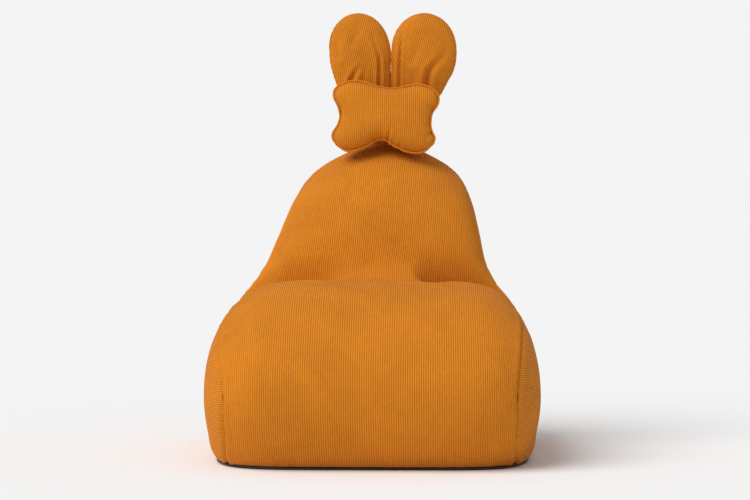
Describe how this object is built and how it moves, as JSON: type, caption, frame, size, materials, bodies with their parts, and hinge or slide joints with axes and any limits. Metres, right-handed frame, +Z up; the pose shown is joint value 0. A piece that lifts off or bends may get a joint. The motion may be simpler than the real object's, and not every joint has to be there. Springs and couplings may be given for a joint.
{
  "type": "bean bag chair",
  "caption": "Child's bean bag chair with a raised back, upright padded ears, a bone-shaped head cushion and a rear carry handle, in wide-wale corduroy.",
  "frame": {"origin": "centre of the bounding box's bottom, on the floor under the middle of the bag", "axes": "+Z up, the seat faces -Y, +X is to the right of someone who looks at the front"},
  "size_m": [0.6546, 0.7008, 0.8983],
  "materials": {
    "corduroy": "matte",
    "base_fabric": "matte",
    "liner_fabric": "matte",
    "beads": "matte",
    "wadding": "matte",
    "zip_tape": "matte",
    "zip_coil": "satin",
    "zip_metal": "satin",
    "elastic": "matte"
  },
  "bodies": {
    "bag": {"backrest_panel": "corduroy", "base_panel": "base_fabric", "bead_fill": "beads", "cover_zip_coil_lower": "zip_coil", "cover_zip_coil_upper": "zip_coil", "cover_zip_stop_left": "zip_metal", "cover_zip_stop_right": "zip_metal", "cover_zip_tape_lower": "zip_tape", "cover_zip_tape_upper": "zip_tape", "ear_band": "elastic", "handle_anchor": "corduroy", "inner_liner": "liner_fabric", "left_ear_root": "corduroy", "left_side_panel": "corduroy", "liner_zip_coil_lower": "zip_coil", "liner_zip_coil_upper": "zip_coil", "liner_zip_stop_left": "zip_metal", "liner_zip_stop_right": "zip_metal", "liner_zip_tape_lower": "zip_tape", "liner_zip_tape_upper": "zip_tape", "rear_panel_lower": "corduroy", "rear_panel_upper": "corduroy", "right_ear_root": "corduroy", "right_side_panel": "corduroy", "seat_panel": "corduroy"},
    "cover_zip_slider": {"cover_zip_slider": "zip_metal"},
    "cover_zip_pull": {"cover_zip_pull": "zip_metal"},
    "liner_zip_slider": {"liner_zip_slider": "zip_metal"},
    "left_ear": {"left_ear_front_panel": "corduroy", "left_ear_back_panel": "corduroy", "left_ear_wadding": "wadding"},
    "right_ear": {"right_ear_front_panel": "corduroy", "right_ear_back_panel": "corduroy", "right_ear_wadding": "wadding"},
    "head_pillow": {"head_pillow_front_panel": "corduroy", "head_pillow_back_panel": "corduroy", "head_pillow_fibre_fill": "wadding"},
    "carry_handle": {"carry_handle": "corduroy"}
  },
  "joints": [
    {"name": "cover_zip_slide", "type": "slide", "parent": "bag", "child": "cover_zip_slider", "axis": [1, 0, 0], "range_m": [0, 0.3802]},
    {"name": "cover_zip_pull_flip", "type": "hinge", "parent": "cover_zip_slider", "child": "cover_zip_pull", "pos_m": [-0.1901, 0.34979, 0.15], "axis": [0, 0, 1], "range_deg": [0, 170]},
    {"name": "liner_zip_slide", "type": "slide", "parent": "bag", "child": "liner_zip_slider", "axis": [1, 0, 0], "range_m": [0, 0.2802]},
    {"name": "left_ear_fold", "type": "hinge", "parent": "bag", "child": "left_ear", "pos_m": [-0.0375, 0.197, 0.7465], "axis": [-1, 0, 0], "range_deg": [-60, 75], "stiffness_Nm_per_rad": 0.005},
    {"name": "right_ear_fold", "type": "hinge", "parent": "bag", "child": "right_ear", "pos_m": [0.0995, 0.197, 0.7465], "axis": [-1, 0, 0], "range_deg": [-60, 75], "stiffness_Nm_per_rad": 0.005},
    {"name": "head_pillow_lift", "type": "hinge", "parent": "bag", "child": "head_pillow", "pos_m": [0.02, 0.1735, 0.715], "axis": [-1, 0, 0], "range_deg": [0, 45]},
    {"name": "carry_handle_swing", "type": "hinge", "parent": "bag", "child": "carry_handle", "pos_m": [0.0192, 0.292, 0.585], "axis": [1, 0, 0], "range_deg": [0, 140]}
  ]
}
